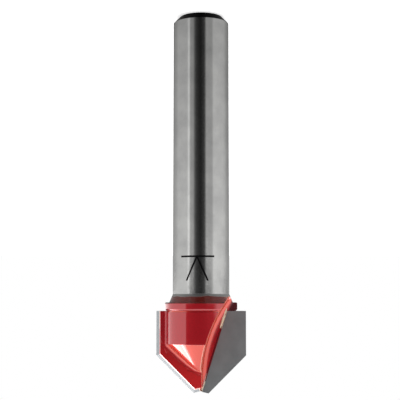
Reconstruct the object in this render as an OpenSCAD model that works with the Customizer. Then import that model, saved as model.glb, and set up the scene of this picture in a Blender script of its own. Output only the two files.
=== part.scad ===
// V groove router bit with two carbide tips brazed onto one turned and milled steel body.
// The centre of the shank's flat end is the origin, and +Z runs along the axis to the cutting point.
// Seen from the cutting point the bit turns anticlockwise, so each tip's front face looks the way it moves.

/* [Shank] */
// Diameter of the ground shank
shank_d = 8; // [6:0.05:9]
// Length of the shank from its flat end to the neck
shank_len = 40; // [25:0.5:60]
// Width of the 45 degree chamfer round the flat end
shank_chamfer = 0.95; // [0.3:0.05:1.5]

/* [Neck and collar] */
// Length of the cone between the shank and the collar
neck_len = 1.15; // [0.5:0.05:2]
// How far the cone widens on each side
neck_rise = 0.5; // [0.2:0.05:0.55]
// Diameter of the collar
collar_d = 10.25; // [10.1:0.05:11.5]
// Length of the collar
collar_len = 1.2; // [0.9:0.05:2.5]
// Radius of the collar's edge on the neck side
collar_round_neck = 0.2; // [0.1:0.05:0.4]
// Radius of the collar's edge on the cutter side
collar_round_cutter = 0.35; // [0.1:0.05:0.45]

/* [Cutter body] */
// Diameter of the round body between the wings
body_d = 10.05; // [9.4:0.05:10.8]
// Width of the turned groove under the collar
groove_len = 0.16; // [0.08:0.02:0.4]
// Depth of the turned groove under the collar
groove_depth = 0.12; // [0.04:0.02:0.3]
// Distance from the cutting point back to the apex of the taper
taper_back = 1.9; // [1.2:0.05:2.6]

/* [Cutting edges] */
// Diameter of the cut
cut_d = 12.7; // [12:0.05:16]
// Length from the top of the tips to the cutting point
cut_len = 11.5; // [10:0.1:14]
// Angle of the V groove
v_angle = 90; // [75:1:110]
// Radius at which each sloping edge ends
flat_r = 1.05; // [0.7:0.05:1.8]
// Angle at which the end edges rise towards the axis
dish_angle = 13; // [6:1:18]
// Relief angle behind every edge
relief_angle = 21; // [12:1:26]

/* [Carbide tips] */
// Thickness of a tip
tip_thick = 1.2; // [1:0.05:1.6]
// How far a tip's front face lies ahead of the axis
rake_ahead = 0.5; // [0.3:0.05:0.7]
// How far a tip stands proud of the gullet floor
tip_proud = 0.1; // [0.04:0.02:0.2]
// Lean of a tip's inner edge from the axis
tip_lean = 17.5; // [12:0.5:20]
// Thickness of the braze between a tip and its seat
braze_gap = 0.1; // [0.06:0.01:0.16]
// Half the thickness of the steel web between the two seats
web_half = 0.05; // [0.03:0.01:0.15]

/* [Gullets and wings] */
// Radius of the disc cutter that mills a gullet
gullet_r = 18.5; // [15:0.1:22]
// Distance from the top of the tips to where that disc runs parallel to a tip's inner edge
gullet_at = 4.4; // [3:0.1:6]
// Corner radius of that cutter, left where the gullet wall meets its floor
gullet_corner_r = 1.3; // [0.8:0.05:1.5]
// Flat floor left there between a tip and that corner
gullet_floor = 0.35; // [0.2:0.01:0.5]
// Steel behind a tip at its edge
heel_lip = 0.3; // [0.2:0.05:0.6]
// Radius of the cutter that clears the body behind a wing
heel_r = 0.5; // [0.3:0.05:0.8]

/* [Hidden] */
$fn = 96;

// Room that cutting shapes reach past what they cut
over = 1;
// Size of a block that stands for everything beyond a plane
beyond = 40;
// How far the heel cutter bites into the faces that it runs along
heel_bite = 0.03;
// Straight runs that follow the curved root of a wing round the taper
heel_runs = 5;

half_v = v_angle / 2;
shank_r = shank_d / 2;
neck_r = shank_r + neck_rise;
collar_r = collar_d / 2;
body_r = body_d / 2;

// Places along the axis
collar_z = shank_len + neck_len;
tip_top_z = collar_z + collar_len;
point_z = tip_top_z + cut_len;
apex_z = point_z - taper_back;
taper_z = apex_z - body_r / tan(half_v);

// Outer corner of the cutting edge, which runs on the cutting circle
edge_x = sqrt(pow(cut_d / 2, 2) - pow(rake_ahead, 2));
corner_z = point_z - (edge_x - flat_r) / tan(half_v);

// Inner edge of a tip, from its foot near the axis up to the collar
tip_foot_x = web_half + braze_gap / cos(tip_lean);
tip_foot_z = point_z - (flat_r - tip_foot_x) * tan(dish_angle);
function tip_inner_x(z) = tip_foot_x + (tip_foot_z - z) * tan(tip_lean);

// Depths across the flutes, measured from the axis
floor_y = rake_ahead - tip_proud;
tip_back_y = rake_ahead - tip_thick;
seat_y = tip_back_y - braze_gap;
back_y = seat_y - heel_lip;

// Centre of the disc cutter, whose rim runs past a tip's inner edge
gullet_side = gullet_floor + gullet_corner_r;
gullet_x = tip_inner_x(tip_top_z + gullet_at) + (gullet_r - gullet_side) * cos(tip_lean);
gullet_z = tip_top_z + gullet_at + (gullet_r - gullet_side) * sin(tip_lean);

// Path of the heel cutter's centre: down the body, round its edge and along the taper to the axis
heel_y = back_y - heel_r + heel_bite;
heel_out = heel_r - heel_bite;
heel_side_x = sqrt(pow(body_r + heel_out, 2) - pow(heel_y, 2));
heel_turn_r = body_r + heel_out * cos(half_v);
heel_turn_z = taper_z + heel_out * sin(half_v);
heel_turn_x = sqrt(pow(heel_turn_r, 2) - pow(heel_y, 2));
function heel_point(x) =
    [x, heel_turn_z + (heel_turn_r - norm([x, heel_y])) / tan(half_v)];
heel_path = concat(
    [[heel_side_x, tip_top_z], [heel_side_x, taper_z]],
    [for (i = [0:heel_runs]) heel_point(heel_turn_x * (1 - i / heel_runs))]
);

// Depths at which the heel cutter meets the round body and, at the axis, the taper
heel_foot_side = heel_y * body_r / (body_r + heel_out);
heel_foot_axis = heel_y + heel_out * cos(half_v);

// Outline of the shank and neck, with radius across and height up
module shank_outline() {
    polygon([
        [0, 0],
        [shank_r - shank_chamfer, 0],
        [shank_r, shank_chamfer],
        [shank_r, shank_len],
        [neck_r, collar_z],
        [neck_r, collar_z + collar_round_neck],
        [0, collar_z + collar_round_neck]
    ]);
}

// Outline of the collar, whose two edges are rounded
module collar_outline() {
    low = collar_round_neck;
    high = collar_round_cutter;
    translate([0, collar_z + low])
        square([collar_r, collar_len - low - high]);
    translate([0, collar_z])
        square([collar_r - max(low, high), collar_len]);
    translate([collar_r - low, collar_z + low])
        circle(low);
    translate([collar_r - high, tip_top_z - high])
        circle(high);
}

// Everything that is turned: shank, neck, collar, groove, round body and taper
module turned_blank() {
    rotate_extrude() {
        shank_outline();
        collar_outline();
        polygon([
            [0, tip_top_z - collar_round_cutter],
            [body_r - groove_depth, tip_top_z - collar_round_cutter],
            [body_r - groove_depth, tip_top_z + groove_len],
            [body_r, tip_top_z + groove_len],
            [body_r, taper_z],
            [0, apex_z]
        ]);
    }
}

// Everything outside the relieved face behind an edge through (x, z) whose outward side is at an angle
module beyond_edge(x, z, facing) {
    translate([x, rake_ahead, z])
        rotate([0, -facing, 0])
            rotate([0, 0, -relief_angle])
                translate([0, -beyond / 2, -beyond / 2])
                    cube(beyond);
}

// Plate in the plane of the flutes, from a front depth back to a rear depth
module plate(front, rear) {
    translate([0, front, 0])
        rotate([90, 0, 0])
            linear_extrude(front - rear)
                children();
}

// A plate ground on its three edges
module ground_plate(front, rear) {
    difference() {
        plate(front, rear)
            children();
        beyond_edge(edge_x, corner_z, 0);
        beyond_edge(edge_x, corner_z, half_v);
        beyond_edge(flat_r, point_z, 90 + dish_angle);
    }
}

// Outline of a tip, grown along its inner edge and reaching past its other edges
module tip_outline(grow, past) {
    shift = grow / cos(tip_lean);
    low = tip_top_z - past;
    high = point_z + over + past;
    far = edge_x + over + past;
    polygon([
        [tip_inner_x(low) - shift, low],
        [far, low],
        [far, high],
        [tip_inner_x(high) - shift, high]
    ]);
}

// Plate that backs a tip, up to the relieved faces
module wing_plate() {
    ground_plate(floor_y, back_y)
        polygon([
            [-flat_r, tip_top_z],
            [edge_x + over, tip_top_z],
            [edge_x + over, point_z + over],
            [-flat_r, point_z + over]
        ]);
}

// Steel behind the plate at its root, before the heel cutter hollows it
module wing_root() {
    lean = atan2(heel_foot_axis - heel_foot_side, heel_side_x);
    difference() {
        plate(floor_y, heel_y)
            polygon(concat(heel_path, [[0, tip_top_z]]));
        translate([0, heel_foot_axis, tip_top_z - over])
            rotate([0, 0, -lean])
                translate([-over, -beyond, 0])
                    cube(beyond);
    }
}

// Round-nosed cutter along its path
module heel_cutter() {
    for (i = [0:len(heel_path) - 2]) {
        from = heel_path[i];
        run = heel_path[i + 1] - from;
        translate([from[0], heel_y, from[1]])
            rotate([0, atan2(run[0], run[1]), 0])
                translate([0, 0, -over])
                    cylinder(r = heel_r, h = norm(run) + 2 * over);
    }
}

module wing() {
    difference() {
        union() {
            wing_plate();
            wing_root();
        }
        heel_cutter();
    }
}

// Space swept by the disc cutter in front of a tip
module gullet() {
    translate([gullet_x, floor_y, gullet_z])
        rotate([-90, 0, 0])
            rotate_extrude($fn = 360) {
                square([gullet_r - gullet_corner_r, cut_d]);
                translate([0, gullet_corner_r])
                    square([gullet_r, cut_d - gullet_corner_r]);
                translate([gullet_r - gullet_corner_r, gullet_corner_r])
                    circle(gullet_corner_r, $fn = 48);
            }
}

// Pocket that a tip is brazed into, open to the front and the edges
module seat() {
    plate(cut_d, seat_y)
        tip_outline(braze_gap, 0);
}

// Puts a copy on each of the two flutes
module both_flutes() {
    for (turn = [0, 180])
        rotate([0, 0, turn])
            children();
}

module body() {
    color([0.6, 0.12, 0.14])
        difference() {
            union() {
                turned_blank();
                both_flutes()
                    wing();
            }
            both_flutes() {
                gullet();
                seat();
            }
        }
}

module tip() {
    color([0.44, 0.44, 0.45])
        ground_plate(rake_ahead, tip_back_y)
            tip_outline(0, 0);
}

// Braze behind a tip and along its inner edge
module braze() {
    color([0.86, 0.8, 0.66])
        difference() {
            ground_plate(floor_y, seat_y)
                tip_outline(braze_gap, 0);
            plate(rake_ahead + over, tip_back_y)
                tip_outline(0, over);
        }
}

module tip_a() {
    tip();
}

module tip_b() {
    rotate([0, 0, 180])
        tip();
}

module braze_a() {
    braze();
}

module braze_b() {
    rotate([0, 0, 180])
        braze();
}

body();
tip_a();
tip_b();
braze_a();
braze_b();
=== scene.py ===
import math

import bpy
from mathutils import Matrix, Vector, noise


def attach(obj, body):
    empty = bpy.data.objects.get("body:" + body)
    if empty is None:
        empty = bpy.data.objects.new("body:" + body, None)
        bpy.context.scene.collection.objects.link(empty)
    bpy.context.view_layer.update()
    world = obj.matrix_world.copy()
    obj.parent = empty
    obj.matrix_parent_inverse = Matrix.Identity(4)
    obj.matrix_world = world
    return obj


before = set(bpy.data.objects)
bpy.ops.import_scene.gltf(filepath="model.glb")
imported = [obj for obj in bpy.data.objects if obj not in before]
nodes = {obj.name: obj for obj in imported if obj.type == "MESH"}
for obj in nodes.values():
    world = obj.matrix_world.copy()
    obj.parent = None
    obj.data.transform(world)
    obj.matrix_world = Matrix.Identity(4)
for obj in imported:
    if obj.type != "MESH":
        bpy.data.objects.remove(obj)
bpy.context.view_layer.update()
mm = 0.001  # the frame is in metres, and sizes below are in millimetres

print("stage: frame loaded")


def linear(hexText):  # an sRGB hex colour as linear RGBA
    parts = [int(hexText[i:i + 2], 16) / 255 for i in (1, 3, 5)]
    return tuple(c / 12.92 if c <= 0.04045 else ((c + 0.055) / 1.055) ** 2.4 for c in parts) + (1.0,)


def addNode(tree, kind, inputs=None, **settings):  # a node, with its inputs by name or place
    node = tree.nodes.new(kind)
    for name, value in settings.items():
        setattr(node, name, value)
    for key, value in (inputs or {}).items():
        if isinstance(value, bpy.types.NodeSocket):
            tree.links.new(value, node.inputs[key])
        else:
            node.inputs[key].default_value = value
    return node


def span(ends, results=(0.0, 1.0)):  # Map Range inputs that turn one pair of values into another
    return {1: ends[0], 2: ends[1], 3: results[0], 4: results[1]}


def newMaterial(name):  # an empty material and the tree that it is built in
    material = bpy.data.materials.new(name)
    material.use_nodes = True
    material.node_tree.nodes.clear()
    return material, material.node_tree


def placeInMm(tree):  # where a point of the surface lies in the frame, in millimetres
    place = addNode(tree, "ShaderNodeTexCoord").outputs["Object"]
    scaled = addNode(tree, "ShaderNodeVectorMath", {0: place, 1: (1 / mm,) * 3}, operation="MULTIPLY")
    return scaled.outputs[0]


def layered(tree, colour, layers):  # a colour with others over it, each as far as its mask says
    for mask, over in layers:
        mixed = addNode(tree, "ShaderNodeMix", {0: mask, 6: colour, 7: over}, data_type="RGBA")
        colour = mixed.outputs[2]
    return colour


# Camera: level with the collar and close, as in the photograph, which hangs the bit point down
view = {
    "distance": 150.0,  # mm from the bit's axis
    "height": 41.0,  # level with the collar
    "aim": 26.58,  # about half the bit's height
    "aside": 0.15,  # the bit stands a hair right of the middle
    "frame": 57.2,  # what the picture takes in at the bit, side to side
    "sensor": 36.0,
    "nearest": 5.0,  # what is nearer or farther than these isn't shown
    "farthest": 10000.0,
}
camera = bpy.data.objects.new("camera", bpy.data.cameras.new("camera"))
bpy.context.scene.collection.objects.link(camera)
bpy.context.scene.camera = camera
eye = Vector((view["aside"], -view["distance"], view["height"])) * mm
target = Vector((view["aside"], 0, view["aim"])) * mm
looking = (target - eye).to_track_quat("-Z", "Y").to_matrix().to_4x4()
upsideDown = Matrix.Rotation(math.pi, 4, "Z")
camera.matrix_world = Matrix.Translation(eye) @ looking @ upsideDown
camera.data.sensor_width = view["sensor"]
camera.data.lens = view["sensor"] * (target - eye).length / (view["frame"] * mm)
camera.data.clip_start = view["nearest"] * mm
camera.data.clip_end = view["farthest"] * mm

print("stage: camera placed")

# Studio: white all round for the eye, with the dark camera side and soft boxes that metal mirrors
studio = {
    "soft": 0.92,  # light on matt surfaces from all round
    "white": 1.0,  # what the eye sees behind the bit
    # what the shank mirrors, as degrees round from the camera towards +X and brightness
    "bands": [
        (-180, 0.15), (-165, 0.35), (-130, 0.55), (-112, 0.82), (-100, 0.90), (-52, 0.97),
        (-46, 0.62), (-30, 0.62), (-22, 0.68), (-15, 0.08), (2, 0.02), (18, 0.06),
        (26, 0.16), (32, 0.55), (46, 0.60), (49, 1.30), (54, 1.30), (58, 0.84),
        (108, 0.82), (127, 0.60), (150, 0.48), (165, 0.35), (180, 0.15),
    ],
    # the same for directions above level, which the cutter mirrors
    "bandsAbove": [
        (-180, 1.40), (-160, 1.30), (-150, 0.12), (-108, 0.15), (-94, 0.80), (-54, 0.95),
        (-44, 0.30), (-38, 0.05), (0, 0.02), (48, 0.03), (51, 0.88), (58, 0.84),
        (106, 0.85), (120, 1.05), (135, 1.5), (155, 1.6), (180, 1.4),
    ],
    "aboveOver": (-0.3, 0.0),  # degrees of height over which they take over
    # brightness by degrees of height: the table is in shade, and the soft boxes overhead are bright
    "heights": [
        (-90, 0.20), (-45, 0.22), (-20, 0.48), (-13, 0.64), (-1, 1.0), (8, 1.1),
        (30, 1.4), (60, 1.15), (90, 1.0),
    ],
    "top": 1.4,  # brightest of those
    "evenOver": (8.0, 45.0),  # degrees of height over which all sides grow alike
}
world = bpy.data.worlds.new("studio")
bpy.context.scene.world = world
world.use_nodes = True
tree = world.node_tree
tree.nodes.clear()
direction = addNode(tree, "ShaderNodeTexCoord").outputs["Generated"]
toward = addNode(tree, "ShaderNodeSeparateXYZ", {0: direction}).outputs
front = addNode(tree, "ShaderNodeMath", {0: toward["Y"], 1: -1.0}, operation="MULTIPLY").outputs[0]
around = addNode(tree, "ShaderNodeMath", {0: toward["X"], 1: front}, operation="ARCTAN2").outputs[0]
height = addNode(tree, "ShaderNodeMath", {0: toward["Z"]}, operation="ARCSINE").outputs[0]
aroundShare = addNode(tree, "ShaderNodeMapRange", {0: around} | span((-math.pi, math.pi))).outputs[0]
heightShare = addNode(tree, "ShaderNodeMapRange", {0: height} | span((-math.pi / 2, math.pi / 2))).outputs[0]
ramps = []
for share, stops, top in (
    (aroundShare, studio["bands"], 1.0),
    (aroundShare, studio["bandsAbove"], 1.0),
    (heightShare, studio["heights"], studio["top"]),
):
    ramp = addNode(tree, "ShaderNodeValToRGB", {0: share})
    elements = ramp.color_ramp.elements
    elements.remove(elements[-1])
    first, last = stops[0][0], stops[-1][0]
    for degrees, bright in stops:
        place = (degrees - first) / (last - first)
        element = elements.new(place) if place > 0 else elements[0]
        element.color = (bright / top,) * 3 + (1,)
    ramps.append(ramp.outputs[0])
aboveEnds = [math.radians(degrees) for degrees in studio["aboveOver"]]
above = addNode(tree, "ShaderNodeMapRange", {0: height} | span(aboveEnds)).outputs[0]
evenEnds = [math.radians(degrees) for degrees in studio["evenOver"]]
even = addNode(tree, "ShaderNodeMapRange", {0: height} | span(evenEnds)).outputs[0]
sides = layered(tree, ramps[0], [(above, ramps[1]), (even, (1, 1, 1, 1))])
mirrored = addNode(tree, "ShaderNodeMath", {0: sides, 1: ramps[2]}, operation="MULTIPLY").outputs[0]
mirroredSky = addNode(tree, "ShaderNodeBackground", {"Color": mirrored, "Strength": studio["top"]})
softSky = addNode(tree, "ShaderNodeBackground", {"Color": (1, 1, 1, 1), "Strength": studio["soft"]})
whiteSky = addNode(tree, "ShaderNodeBackground", {"Color": (1, 1, 1, 1), "Strength": studio["white"]})
path = addNode(tree, "ShaderNodeLightPath").outputs
lit = addNode(tree, "ShaderNodeMixShader", {
    0: path["Is Glossy Ray"], 1: softSky.outputs[0], 2: mirroredSky.outputs[0]})
seen = addNode(tree, "ShaderNodeMixShader", {
    0: path["Is Camera Ray"], 1: lit.outputs[0], 2: whiteSky.outputs[0]})
addNode(tree, "ShaderNodeOutputWorld", {0: seen.outputs[0]})

# Lamps: round soft boxes that look at the cutter, and two small ones for the streaks on its taper
softBoxes = {
    "aim": 46.0,  # mm up the bit
    # name, degrees round from the camera towards +X, degrees up, mm away, mm across and watts
    "lamps": [
        ("coneLamp", 138, 42, 230, 170, 0.26),
        ("coneStreak", 121, 59, 230, 36, 0.008),
        ("coneSecondStreak", 138, 42, 230, 26, 0.004),
        ("flankLamp", -117, 36, 260, 120, 0.25),
    ],
}
aim = Vector((0, 0, softBoxes["aim"])) * mm
for name, degreesRound, degreesUp, distance, size, watts in softBoxes["lamps"]:
    turn = math.radians(degreesRound)
    rise = math.radians(degreesUp)
    toLamp = Vector((math.cos(rise) * math.sin(turn), -math.cos(rise) * math.cos(turn), math.sin(rise)))
    lamp = bpy.data.objects.new(name, bpy.data.lights.new(name, "AREA"))
    lamp.data.shape = "DISK"
    lamp.data.size = size * mm
    lamp.data.energy = watts
    lamp.location = aim + toLamp * distance * mm
    lamp.rotation_euler = (-toLamp).to_track_quat("-Z", "Y").to_euler()
    bpy.context.scene.collection.objects.link(lamp)

# Floor: plain matt white, with a glow for the eye alone that keeps the bit's shadow faint
table = {"colour": "#E9E9E9", "width": 1600.0, "glow": 0.6}
floorMaterial, tree = newMaterial("mattWhiteTable")
matt = addNode(tree, "ShaderNodeBsdfDiffuse", {"Color": linear(table["colour"])})
glow = addNode(tree, "ShaderNodeEmission", {"Color": (1, 1, 1, 1), "Strength": table["glow"]})
together = addNode(tree, "ShaderNodeAddShader", {0: matt.outputs[0], 1: glow.outputs[0]})
path = addNode(tree, "ShaderNodeLightPath").outputs
shown = addNode(tree, "ShaderNodeMixShader", {
    0: path["Is Camera Ray"], 1: matt.outputs[0], 2: together.outputs[0]})
addNode(tree, "ShaderNodeOutputMaterial", {0: shown.outputs[0]})
half = table["width"] / 2 * mm
corners = [(-half, -half, 0), (half, -half, 0), (half, half, 0), (-half, half, 0)]
floorMesh = bpy.data.meshes.new("floor")
floorMesh.from_pydata(corners, [], [(0, 1, 2, 3)])
floorMesh.materials.append(floorMaterial)
floor = bpy.data.objects.new("floor", floorMesh)
bpy.context.scene.collection.objects.link(floor)
floor.visible_glossy = False  # metal mirrors the dark table in the studio's heights instead

print("stage: studio lit")

# Body: hardened steel with a ground shank, dipped in red lacquer from the neck to the point.
# Grinding leaves fine lines round the shank, and the wet lacquer rounds its edges and shines on them, with
# painted highlights along the gullets and painted light and shade in its red.
bodyFinish = {
    # ground steel
    "steel": "#CFCFCD",
    "steelDark": "#B9B9B8",
    "cloudPitch": 2.857,  # mm between the steel's darker clouds
    "cloudNoise": (0.35, 0.7),  # noise at which a cloud starts and is full
    "cloudShare": 0.8,  # how far a full cloud goes to the dark tone
    "steelRoughness": (0.08, 0.17),  # least and most
    "grainPitch": 0.2,  # mm between changes in its roughness
    "grainNoise": (0.35, 0.65),
    "grindPitch": 0.12,  # mm between grinding lines, coarser than the real ones so that they show
    "grindLength": 4.0,  # mm of shank that a line goes round
    "grindDepth": 0.0015,  # mm
    "grindStretch": 0.35,  # how far the lines stretch a glint
    "paintedChamferShade": "#08080A",  # painted shade: the chamfer, which faces down to the table, painted near black
    "chamferShadeTo": 1.0,  # mm up the bit
    "chamferShadeFacing": -0.7,  # upward part of the chamfer's normal
    "chamferShadeWithin": 0.2,  # how near to that a face has to come
    "smudgeRoughness": 0.2,  # where fingers and flux dulled it, near the neck
    "smudgeHeights": (34.0, 39.0),  # mm up the bit
    "smudgeNoise": (0.48, 0.6),
    "smudgeWidth": 0.625,  # mm
    "smudgeLength": 1.6667,  # mm up the bit
    "neckFrom": 39.95,  # mm up the bit, from where the brazing heat left the steel matt
    "neckRoughness": 0.4,
    "mark": "#1F1F20",
    "markRoughness": 0.55,
    # red lacquer
    "lacquer": "#BC1B26",
    "lacquerRoughness": 0.26,
    "lacquerMetal": 0.4,  # how much of the steel's gleam comes through
    "lacquerSpecular": 0.15,  # low, as the coat over it gives the shine
    "coatRoughness": 0.04,
    "coatIor": 1.9,  # above a lacquer's usual 1.5, matched to how strongly its edges shine
    "lacquerStart": 40.32,  # mm up the bit
    "lacquerFeather": 0.05,  # mm over which it ends, on each side of its edge
    "lacquerWave": 0.10,  # mm by which that edge wanders
    "wavePitch": 2.2222,  # mm between its waves
    "waveNoise": (0.3, 0.7),
    "peelPitch": 0.6,  # mm between the soft ripples of the lacquer
    "peelDepth": 0.006,  # mm
    "edgeRadius": 0.07,  # mm of rounding that the lacquer gives an edge
    "edgeSamples": 6,
    # tones of the lacquer by place, most of them painted light and shade
    "lacquerTip": "#E52F30",  # brighter towards the point
    "tipHeights": (46.0, 52.0),  # mm up the bit
    "paintedLitLacquer": "#E93C1C",  # painted light: a brighter, warmer copy of the red on the milled walls and the taper
    "milledRadius": 4.96,  # mm from the axis, within which faces that slant get that painted light
    "slant": (0.97, 0.85),  # part of the normal across the flutes, on a floor and on a wall
    "lacquerShade": "#6C2620",  # painted shade over the red on faces that look back to the shank, and on the neck
    "downward": (-0.1, -0.35),  # upward part of the normal where the painted shade starts, on upright faces, and where it is full, on the neck
    "paintedCreviceShade": "#7A1220",  # painted shade along the tips' inner edges, in the crevice beside each tip
    "creviceShadeWidth": (0.38, 0.2),  # mm from a tip's inner edge, where the painted shade ends and is full
    "creviceShadeHeights": (43.8, 45.4),  # mm up the bit
    "paintedCollarShade": "#62282D",  # painted shade on the collar beside a tip
    "collarShadeTo": 42.4,  # mm up the bit
    "collarShadeReach": (0.0, -0.3),  # mm from a tip's inner edge, where the painted shade starts and is full
    "collarShadeFade": (0.0, 0.4),  # the same from the middle plane
    # painted highlights along the rims and corners of the gullets
    # painted highlight: a pale copy of the red along the gullets
    "paintedHighlight": "#FFB09A",
    "rimRadius": 0.26,  # mm of rounding on the rims of the gullets, which are hand dressed
    "rimBend": (0.995, 0.97),  # agreement of rounded and flat normal, off the rim and on it
    "rimWithin": 5.08,  # mm from the axis, up to which a wall has a rim
    "rimAbove": 0.3,  # mm past the tops of the tips, from where the rims get the painted highlight
    "wallFacing": (0.6, 0.75),  # part of the normal towards the tip, on the corner and on the wall
    "wallCorner": (0.6, 0.35),  # part of it across the flutes, where the painted highlight on the corner starts and is strongest
    "wallStraight": 0.02,  # less of it than this is the straight wall, which gets no painted highlight
    "wallShine": 0.55,  # how strong the painted highlight is there, where 1 is as strong as on a rim
}

# Mark on the shank: how far it goes into a collet, as a bar with two legs that spread to the cutter
depthMark = {
    "height": 34.78,  # mm up the bit
    "middle": 0.58,  # mm round the shank from the side that faces the camera
    "halfBar": 2.49,  # half the bar's length
    "halfLegs": 1.53,  # half of what the legs spread
    "legLength": 3.36,  # along the shank
    "halfLine": 0.125,  # half a line's width
    "shankRadius": 4.0,
}

# Inner edge of a tip, as built
tipEdge = {
    "footX": 0.155,  # mm from the axis at the cutting point
    "footZ": 53.643,
    "topZ": 42.35,
    "lean": 17.5,  # degrees from the axis
    "floorY": 0.4,  # depth of the gullet floor beside it
}


def depthMarkMask(tree, place):  # 1 on the mark, from the way round the shank and the height
    front = addNode(tree, "ShaderNodeMath", {0: place["Y"], 1: -1.0}, operation="MULTIPLY").outputs[0]
    turn = addNode(tree, "ShaderNodeMath", {0: place["X"], 1: front}, operation="ARCTAN2").outputs[0]
    arc = addNode(tree, "ShaderNodeMath", {
        0: turn, 1: depthMark["shankRadius"], 2: -depthMark["middle"]}, operation="MULTIPLY_ADD").outputs[0]
    offMiddle = addNode(tree, "ShaderNodeMath", {0: arc}, operation="ABSOLUTE").outputs[0]
    barHeight = addNode(tree, "ShaderNodeMath", {
        0: place["Z"], 1: depthMark["height"], 2: depthMark["halfLine"]}, operation="COMPARE").outputs[0]
    barWidth = addNode(tree, "ShaderNodeMath", {
        0: offMiddle, 1: depthMark["halfBar"]}, operation="LESS_THAN").outputs[0]
    bar = addNode(tree, "ShaderNodeMath", {0: barHeight, 1: barWidth}, operation="MULTIPLY").outputs[0]

    slope = depthMark["halfLegs"] / depthMark["legLength"]
    spread = addNode(tree, "ShaderNodeMath", {
        0: place["Z"], 1: slope, 2: -slope * depthMark["height"]}, operation="MULTIPLY_ADD").outputs[0]
    halfLeg = depthMark["halfLine"] * math.hypot(1, slope)
    legLine = addNode(tree, "ShaderNodeMath", {
        0: offMiddle, 1: spread, 2: halfLeg}, operation="COMPARE").outputs[0]
    halfLength = depthMark["legLength"] / 2
    legHeight = addNode(tree, "ShaderNodeMath", {
        0: place["Z"], 1: depthMark["height"] + halfLength, 2: halfLength}, operation="COMPARE").outputs[0]
    legs = addNode(tree, "ShaderNodeMath", {0: legLine, 1: legHeight}, operation="MULTIPLY").outputs[0]
    return addNode(tree, "ShaderNodeMath", {0: bar, 1: legs}, operation="MAXIMUM").outputs[0]


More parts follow.
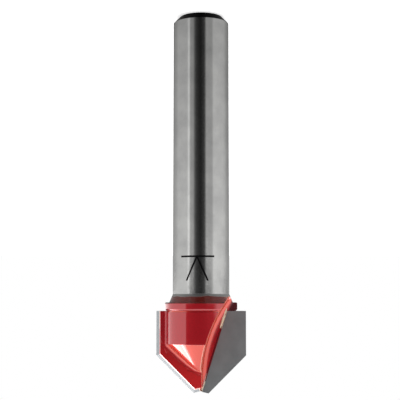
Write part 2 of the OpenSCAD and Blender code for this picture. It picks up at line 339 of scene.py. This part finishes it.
def lacquerLayers(tree, place, flat):  # masks and colours over the plain red, most of them painted light and shade, and where the painted highlight lies
    facing = addNode(tree, "ShaderNodeSeparateXYZ", {0: flat}).outputs
    across = addNode(tree, "ShaderNodeMath", {0: facing["Y"]}, operation="ABSOLUTE").outputs[0]
    fluteSide = addNode(tree, "ShaderNodeMath", {0: place["Y"]}, operation="SIGN").outputs[0]
    squareX = addNode(tree, "ShaderNodeMath", {0: place["X"], 1: 2.0}, operation="POWER").outputs[0]
    squareY = addNode(tree, "ShaderNodeMath", {0: place["Y"], 1: 2.0}, operation="POWER").outputs[0]
    squareRadius = addNode(tree, "ShaderNodeMath", {0: squareX, 1: squareY}, operation="ADD").outputs[0]

    # faces that were milled or turned to a slant, which get painted light, and those that look back to the
    # shank, which get painted shade
    inside = addNode(tree, "ShaderNodeMath", {
        0: squareRadius, 1: bodyFinish["milledRadius"] ** 2}, operation="LESS_THAN").outputs[0]
    slanted = addNode(tree, "ShaderNodeMapRange", {0: across} | span(bodyFinish["slant"])).outputs[0]
    milled = addNode(tree, "ShaderNodeMath", {0: inside, 1: slanted}, operation="MULTIPLY").outputs[0]
    # painted shade on faces that look back to the shank
    downward = addNode(tree, "ShaderNodeMapRange", {0: facing["Z"]} | span(bodyFinish["downward"])).outputs[0]
    towardsPoint = addNode(tree, "ShaderNodeMapRange", {
        0: place["Z"]} | span(bodyFinish["tipHeights"])).outputs[0]

    # rims of the gullets, where the rounded normal leaves the flat one, for a painted highlight
    dressed = addNode(tree, "ShaderNodeBevel", {
        "Radius": bodyFinish["rimRadius"] * mm}, samples=bodyFinish["edgeSamples"]).outputs[0]
    agree = addNode(tree, "ShaderNodeVectorMath", {0: dressed, 1: flat}, operation="DOT_PRODUCT")
    rim = addNode(tree, "ShaderNodeMapRange", {
        0: agree.outputs["Value"]} | span(bodyFinish["rimBend"])).outputs[0]
    toTip = addNode(tree, "ShaderNodeMath", {0: facing["X"], 1: fluteSide}, operation="MULTIPLY").outputs[0]
    wall = addNode(tree, "ShaderNodeMapRange", {0: toTip} | span(bodyFinish["wallFacing"])).outputs[0]
    withinRim = addNode(tree, "ShaderNodeMath", {
        0: squareRadius, 1: bodyFinish["rimWithin"] ** 2}, operation="LESS_THAN").outputs[0]
    rimWall = addNode(tree, "ShaderNodeMath", {0: wall, 1: withinRim}, operation="MULTIPLY").outputs[0]
    dressable = addNode(tree, "ShaderNodeMath", {0: milled, 1: rimWall}, operation="MAXIMUM").outputs[0]
    pastTop = addNode(tree, "ShaderNodeMath", {
        0: place["Z"], 1: tipEdge["topZ"] + bodyFinish["rimAbove"]}, operation="GREATER_THAN").outputs[0]
    rimMilled = addNode(tree, "ShaderNodeMath", {0: rim, 1: dressable}, operation="MULTIPLY").outputs[0]
    rimEdge = addNode(tree, "ShaderNodeMath", {0: rimMilled, 1: pastTop}, operation="MULTIPLY").outputs[0]

    # the last of the corner that the gullet's cutter leaves, next to the straight wall, for a weaker painted
    # highlight
    shine = (0.0, bodyFinish["wallShine"])
    corner = addNode(tree, "ShaderNodeMapRange", {
        0: across} | span(bodyFinish["wallCorner"], shine)).outputs[0]
    curved = addNode(tree, "ShaderNodeMath", {
        0: across, 1: bodyFinish["wallStraight"]}, operation="GREATER_THAN").outputs[0]
    onCorner = addNode(tree, "ShaderNodeMath", {0: corner, 1: curved}, operation="MULTIPLY").outputs[0]
    wallLine = addNode(tree, "ShaderNodeMath", {0: onCorner, 1: rimWall}, operation="MULTIPLY").outputs[0]
    paintedHighlightMask = addNode(tree, "ShaderNodeMath", {0: rimEdge, 1: wallLine}, operation="MAXIMUM").outputs[0]

    # how far a place lies inside a tip's sloping inner edge, for the painted shade on one side of it
    alongX = addNode(tree, "ShaderNodeMath", {0: place["X"], 1: fluteSide}, operation="MULTIPLY").outputs[0]
    lean = math.tan(math.radians(tipEdge["lean"]))
    innerX = addNode(tree, "ShaderNodeMath", {
        0: place["Z"], 1: -lean, 2: tipEdge["footX"] + tipEdge["footZ"] * lean}, operation="MULTIPLY_ADD")
    fromTip = addNode(tree, "ShaderNodeMath", {
        0: innerX.outputs[0], 1: alongX}, operation="SUBTRACT").outputs[0]
    byTip = addNode(tree, "ShaderNodeMapRange", {0: fromTip} | span(bodyFinish["creviceShadeWidth"])).outputs[0]
    deep = addNode(tree, "ShaderNodeMapRange", {0: place["Z"]} | span(bodyFinish["creviceShadeHeights"])).outputs[0]
    onWall = addNode(tree, "ShaderNodeMath", {0: inside, 1: deep}, operation="MULTIPLY").outputs[0]
    # painted shade in the crevice along the tip
    creviceShade = addNode(tree, "ShaderNodeMath", {0: byTip, 1: onWall}, operation="MULTIPLY").outputs[0]

    # and for the painted shade on the collar on the other side
    beyondTip = addNode(tree, "ShaderNodeMapRange", {0: fromTip} | span(bodyFinish["collarShadeReach"])).outputs[0]
    onCollar = addNode(tree, "ShaderNodeMath", {
        0: place["Z"], 1: bodyFinish["collarShadeTo"]}, operation="LESS_THAN").outputs[0]
    offPlane = addNode(tree, "ShaderNodeMath", {0: place["Y"]}, operation="ABSOLUTE").outputs[0]
    fade = addNode(tree, "ShaderNodeMapRange", {0: offPlane} | span(bodyFinish["collarShadeFade"])).outputs[0]
    # painted shade on the collar beside the tip
    shadedCollar = addNode(tree, "ShaderNodeMath", {0: beyondTip, 1: onCollar}, operation="MULTIPLY").outputs[0]
    paintedCollarShade = addNode(tree, "ShaderNodeMath", {0: shadedCollar, 1: fade}, operation="MULTIPLY").outputs[0]

    layers = [
        (towardsPoint, linear(bodyFinish["lacquerTip"])),
        (milled, linear(bodyFinish["paintedLitLacquer"])),
        (downward, linear(bodyFinish["lacquerShade"])),
        (creviceShade, linear(bodyFinish["paintedCreviceShade"])),
        (paintedCollarShade, linear(bodyFinish["paintedCollarShade"])),
        (paintedHighlightMask, linear(bodyFinish["paintedHighlight"])),
    ]
    return layers, paintedHighlightMask


def bodyMaterial():
    material, tree = newMaterial("groundSteelAndRedLacquer")
    inMm = placeInMm(tree)
    place = addNode(tree, "ShaderNodeSeparateXYZ", {0: inMm}).outputs
    z = place["Z"]
    flat = addNode(tree, "ShaderNodeNewGeometry").outputs["Normal"]
    mark = depthMarkMask(tree, place)

    # where the lacquer starts: a dipped edge that wanders round the neck
    wander = addNode(tree, "ShaderNodeTexNoise", {
        "Vector": inMm, "Scale": 1 / bodyFinish["wavePitch"], "Detail": 3.0}).outputs[0]
    wave = bodyFinish["lacquerWave"]
    shift = addNode(tree, "ShaderNodeMapRange", {
        0: wander} | span(bodyFinish["waveNoise"], (-wave, wave))).outputs[0]
    moved = addNode(tree, "ShaderNodeMath", {0: z, 1: shift}, operation="ADD").outputs[0]
    start = bodyFinish["lacquerStart"]
    feather = bodyFinish["lacquerFeather"]
    red = addNode(tree, "ShaderNodeMapRange", {
        0: moved} | span((start - feather, start + feather))).outputs[0]

    # ground steel: soft cloudy patches, and the chamfer painted near black as shade
    clouds = addNode(tree, "ShaderNodeTexNoise", {
        "Vector": inMm, "Scale": 1 / bodyFinish["cloudPitch"], "Detail": 4.0}).outputs[0]
    cloudy = addNode(tree, "ShaderNodeMapRange", {
        0: clouds} | span(bodyFinish["cloudNoise"], (0.0, bodyFinish["cloudShare"]))).outputs[0]
    low = addNode(tree, "ShaderNodeMath", {0: z, 1: bodyFinish["chamferShadeTo"]}, operation="LESS_THAN").outputs[0]
    upward = addNode(tree, "ShaderNodeSeparateXYZ", {0: flat}).outputs["Z"]
    leaning = addNode(tree, "ShaderNodeMath", {
        0: upward, 1: bodyFinish["chamferShadeFacing"], 2: bodyFinish["chamferShadeWithin"]}, operation="COMPARE").outputs[0]
    # painted shade: near black on the chamfer, which faces the table
    paintedChamferShade = addNode(tree, "ShaderNodeMath", {0: low, 1: leaning}, operation="MULTIPLY").outputs[0]
    steel = layered(tree, linear(bodyFinish["steel"]), [
        (cloudy, linear(bodyFinish["steelDark"])),
        (paintedChamferShade, linear(bodyFinish["paintedChamferShade"])),
        (mark, linear(bodyFinish["mark"])),
    ])
    layers, paintedHighlightMask = lacquerLayers(tree, place, flat)
    lacquer = layered(tree, linear(bodyFinish["lacquer"]), layers)
    colour = layered(tree, steel, [(red, lacquer)])

    # how dull each part is: fine grain, smudges by the neck, the matt neck, the mark and the lacquer
    grain = addNode(tree, "ShaderNodeTexNoise", {
        "Vector": inMm, "Scale": 1 / bodyFinish["grainPitch"], "Detail": 5.0}).outputs[0]
    roughness = addNode(tree, "ShaderNodeMapRange", {
        0: grain} | span(bodyFinish["grainNoise"], bodyFinish["steelRoughness"])).outputs[0]
    perWidth = 1 / bodyFinish["smudgeWidth"]
    smudgeScale = (perWidth, perWidth, 1 / bodyFinish["smudgeLength"])
    tall = addNode(tree, "ShaderNodeVectorMath", {0: inMm, 1: smudgeScale}, operation="MULTIPLY").outputs[0]
    smudges = addNode(tree, "ShaderNodeTexNoise", {"Vector": tall, "Scale": 1.0, "Detail": 4.0}).outputs[0]
    smudged = addNode(tree, "ShaderNodeMapRange", {0: smudges} | span(bodyFinish["smudgeNoise"])).outputs[0]
    nearNeck = addNode(tree, "ShaderNodeMapRange", {0: z} | span(bodyFinish["smudgeHeights"])).outputs[0]
    dull = addNode(tree, "ShaderNodeMath", {0: smudged, 1: nearNeck}, operation="MULTIPLY").outputs[0]
    onNeck = addNode(tree, "ShaderNodeMath", {
        0: z, 1: bodyFinish["neckFrom"]}, operation="GREATER_THAN").outputs[0]
    for mask, value in (
        (dull, bodyFinish["smudgeRoughness"]),
        (onNeck, bodyFinish["neckRoughness"]),
        (mark, bodyFinish["markRoughness"]),
        (red, bodyFinish["lacquerRoughness"]),
    ):
        roughness = addNode(tree, "ShaderNodeMix", {0: mask, 2: roughness, 3: value}).outputs[0]
    gleam = addNode(tree, "ShaderNodeMapRange", {
        0: paintedHighlightMask} | span((0.0, 1.0), (bodyFinish["lacquerMetal"], 0.0))).outputs[0]
    metal = addNode(tree, "ShaderNodeMix", {0: red, 2: 1.0, 3: gleam}).outputs[0]

    # relief: grinding lines round the steel, soft ripples in the lacquer, and rounded edges
    perLength = 1 / bodyFinish["grindLength"]
    lineScale = (perLength, perLength, 1 / bodyFinish["grindPitch"])
    stretched = addNode(tree, "ShaderNodeVectorMath", {0: inMm, 1: lineScale}, operation="MULTIPLY")
    lines = addNode(tree, "ShaderNodeTexNoise", {
        "Vector": stretched.outputs[0], "Scale": 1.0, "Detail": 4.0, "Roughness": 0.65}).outputs[0]
    peel = addNode(tree, "ShaderNodeTexNoise", {
        "Vector": inMm, "Scale": 1 / bodyFinish["peelPitch"], "Detail": 2.0}).outputs[0]
    relief = addNode(tree, "ShaderNodeMix", {0: red, 2: lines, 3: peel}).outputs[0]
    depths = (bodyFinish["grindDepth"], bodyFinish["peelDepth"])
    depth = addNode(tree, "ShaderNodeMapRange", {0: red} | span((0.0, 1.0), depths)).outputs[0]
    raised = addNode(tree, "ShaderNodeMath", {0: relief, 1: depth}, operation="MULTIPLY").outputs[0]
    rounded = addNode(tree, "ShaderNodeBevel", {
        "Radius": bodyFinish["edgeRadius"] * mm}, samples=bodyFinish["edgeSamples"]).outputs[0]
    bumped = addNode(tree, "ShaderNodeBump", {
        "Strength": 1.0, "Distance": mm, "Height": raised, "Normal": rounded}).outputs[0]
    shader = addNode(tree, "ShaderNodeBsdfPrincipled", {
        "Base Color": colour,
        "Metallic": metal,
        "Roughness": roughness,
        "Specular IOR Level": bodyFinish["lacquerSpecular"],
        "Anisotropic": bodyFinish["grindStretch"],
        "Tangent": addNode(tree, "ShaderNodeTangent", direction_type="RADIAL", axis="Z").outputs[0],
        "Coat Weight": red,
        "Coat Roughness": bodyFinish["coatRoughness"],
        "Coat IOR": bodyFinish["coatIor"],
        "Normal": bumped,
    })
    addNode(tree, "ShaderNodeOutputMaterial", {0: shader.outputs[0]})
    return material


nodes["body"].data.materials.clear()
nodes["body"].data.materials.append(bodyMaterial())

print("stage: body finished")

# Tips: tungsten carbide, lapped dull on the face and diamond ground to a paler grey on the flanks
tipFinish = {
    "face": "#7D7F80",
    "faceDark": "#757778",
    "cloudPitch": 1.818,  # mm between the face's darker clouds
    "cloudNoise": (0.35, 0.65),  # noise at which a cloud starts and is full
    "flank": "#9DA1A4",
    "flankFacing": (0.95, 0.8),  # part of the normal across the flutes, on the face and on a flank
    "faceMetal": 0.3,
    "flankMetal": 0.05,
    "roughness": 0.5,
    "specular": 0.25,
    "grindPitch": 0.09,  # mm between the wheel's lines, coarser than the real ones so that they show
    "grindLength": 3.333,  # mm of a line
    "grindDepth": 0.001,
    "edgeRadius": 0.03,  # mm of rounding on an edge, more than the real one so that it shows
    "edgeSamples": 4,
}


def carbideMaterial():
    material, tree = newMaterial("diamondGroundCarbide")
    inMm = placeInMm(tree)

    # the face looks across the flutes, and every other side is a ground flank
    flat = addNode(tree, "ShaderNodeNewGeometry").outputs["Normal"]
    facing = addNode(tree, "ShaderNodeSeparateXYZ", {0: flat}).outputs["Y"]
    across = addNode(tree, "ShaderNodeMath", {0: facing}, operation="ABSOLUTE").outputs[0]
    flank = addNode(tree, "ShaderNodeMapRange", {0: across} | span(tipFinish["flankFacing"])).outputs[0]

    clouds = addNode(tree, "ShaderNodeTexNoise", {
        "Vector": inMm, "Scale": 1 / tipFinish["cloudPitch"], "Detail": 5.0}).outputs[0]
    cloudy = addNode(tree, "ShaderNodeMapRange", {0: clouds} | span(tipFinish["cloudNoise"])).outputs[0]
    colour = layered(tree, linear(tipFinish["face"]), [
        (cloudy, linear(tipFinish["faceDark"])),
        (flank, linear(tipFinish["flank"])),
    ])
    metal = addNode(tree, "ShaderNodeMix", {
        0: flank, 2: tipFinish["faceMetal"], 3: tipFinish["flankMetal"]}).outputs[0]

    perLength = 1 / tipFinish["grindLength"]
    lineScale = (1 / tipFinish["grindPitch"], perLength, perLength)
    stretched = addNode(tree, "ShaderNodeVectorMath", {0: inMm, 1: lineScale}, operation="MULTIPLY")
    lines = addNode(tree, "ShaderNodeTexNoise", {
        "Vector": stretched.outputs[0], "Scale": 1.0, "Detail": 3.0}).outputs[0]
    rounded = addNode(tree, "ShaderNodeBevel", {
        "Radius": tipFinish["edgeRadius"] * mm}, samples=tipFinish["edgeSamples"]).outputs[0]
    bumped = addNode(tree, "ShaderNodeBump", {
        "Strength": 1.0, "Distance": tipFinish["grindDepth"] * mm, "Height": lines, "Normal": rounded})
    shader = addNode(tree, "ShaderNodeBsdfPrincipled", {
        "Base Color": colour,
        "Metallic": metal,
        "Roughness": tipFinish["roughness"],
        "Specular IOR Level": tipFinish["specular"],
        "Normal": bumped.outputs[0],
    })
    addNode(tree, "ShaderNodeOutputMaterial", {0: shader.outputs[0]})
    return material


carbide = carbideMaterial()
for name in ("tip_a", "tip_b"):
    nodes[name].data.materials.clear()
    nodes[name].data.materials.append(carbide)

print("stage: tips finished")

# Braze: silver alloy that ran bright from the joint and cooled in pale and warm blotches
brazeFinish = {
    "bright": "#F6EFDD",
    "warm": "#DCC79C",
    "metal": 0.25,
    "roughness": 0.3,
    "blotchPitch": 0.4,  # mm
    "blotchDepth": 0.01,
    "lacquer": "#8C1418",  # the dip covers the joint but for its two ends
    "bareBelow": 44.8,  # mm up the bit
    "bareAbove": 52.1,
}


def brazeMaterial():
    material, tree = newMaterial("silverBraze")
    inMm = placeInMm(tree)
    blotches = addNode(tree, "ShaderNodeTexNoise", {
        "Vector": inMm, "Scale": 1 / brazeFinish["blotchPitch"], "Detail": 3.0}).outputs[0]
    z = addNode(tree, "ShaderNodeSeparateXYZ", {0: inMm}).outputs["Z"]
    pastTop = addNode(tree, "ShaderNodeMath", {
        0: z, 1: brazeFinish["bareBelow"]}, operation="GREATER_THAN").outputs[0]
    shortOfFoot = addNode(tree, "ShaderNodeMath", {
        0: z, 1: brazeFinish["bareAbove"]}, operation="LESS_THAN").outputs[0]
    covered = addNode(tree, "ShaderNodeMath", {0: pastTop, 1: shortOfFoot}, operation="MULTIPLY").outputs[0]
    colour = layered(tree, linear(brazeFinish["bright"]), [
        (blotches, linear(brazeFinish["warm"])),
        (covered, linear(brazeFinish["lacquer"])),
    ])
    bumped = addNode(tree, "ShaderNodeBump", {
        "Strength": 1.0, "Distance": brazeFinish["blotchDepth"] * mm, "Height": blotches}).outputs[0]
    shader = addNode(tree, "ShaderNodeBsdfPrincipled", {
        "Base Color": colour,
        "Metallic": brazeFinish["metal"],
        "Roughness": brazeFinish["roughness"],
        "Normal": bumped,
    })
    addNode(tree, "ShaderNodeOutputMaterial", {0: shader.outputs[0]})
    return material


braze = brazeMaterial()
for name in ("braze_a", "braze_b"):
    nodes[name].data.materials.clear()
    nodes[name].data.materials.append(braze)

# Beads of braze that squeezed out along a tip's inner edge, at its top and at its foot
bead = {
    # from and to along the bit, half width, and how far the middle lies off the tip's edge
    "runs": [(41.0, 44.8, 0.16, 0.27), (52.1, 53.4, 0.14, 0.12)],
    "rise": 0.14,  # mm from its foot, which is sunk in the gullet floor
    "sunk": 0.01,
    "steps": 60,
    "sides": 12,
    "endSize": 0.15,  # share of the full size at an end
    "swell": 8.0,  # how fast it swells from there, in full sizes over its whole length
    "lumps": 0.45,  # share by which the size wanders
    "lumpsPerMm": 2.3,
    "lumpRow": 5.0,  # rows of the noise, apart so that lumps and drift differ
    "drift": 0.03,  # mm by which the middle wanders
    "driftsPerMm": 3.1,
    "driftRow": 9.0,
}


def addBead(name, side):
    points, faces = [], []
    lean = math.tan(math.radians(tipEdge["lean"]))
    steps, sides = bead["steps"], bead["sides"]
    for low, high, half, aside in bead["runs"]:
        first = len(points)
        for i in range(steps + 1):
            t = i / steps
            z = low + (high - low) * t
            fade = min(1, bead["swell"] * t + bead["endSize"], bead["swell"] * (1 - t) + bead["endSize"])
            lumpPlace = Vector((z * bead["lumpsPerMm"], side * bead["lumpRow"], low))
            size = fade * (1 + bead["lumps"] * noise.noise(lumpPlace))
            driftPlace = Vector((z * bead["driftsPerMm"], bead["driftRow"], side))
            drift = bead["drift"] * noise.noise(driftPlace)
            middle = tipEdge["footX"] + (tipEdge["footZ"] - z) * lean - aside + drift
            for k in range(sides):
                turn = math.pi * k / (sides - 1)
                x = middle + half * size * math.cos(turn)
                y = tipEdge["floorY"] - bead["sunk"] + bead["rise"] * size * math.sin(turn)
                points.append(Vector((side * x, side * y, z)) * mm)
        for i in range(steps):
            for k in range(sides - 1):
                a = first + i * sides + k
                faces.append((a, a + 1, a + sides + 1, a + sides))
        faces.append([first + k for k in range(sides)][::-1])
        faces.append([first + steps * sides + k for k in range(sides)])
    mesh = bpy.data.meshes.new(name)
    mesh.from_pydata(points, [], faces)
    mesh.validate()
    mesh.shade_smooth()
    mesh.materials.append(braze)
    piece = bpy.data.objects.new(name, mesh)
    bpy.context.scene.collection.objects.link(piece)
    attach(piece, "root")


addBead("brazeBead_a", 1)
addBead("brazeBead_b", -1)

print("stage: braze and beads finished")

bpy.context.scene.view_settings.view_transform = "Standard"
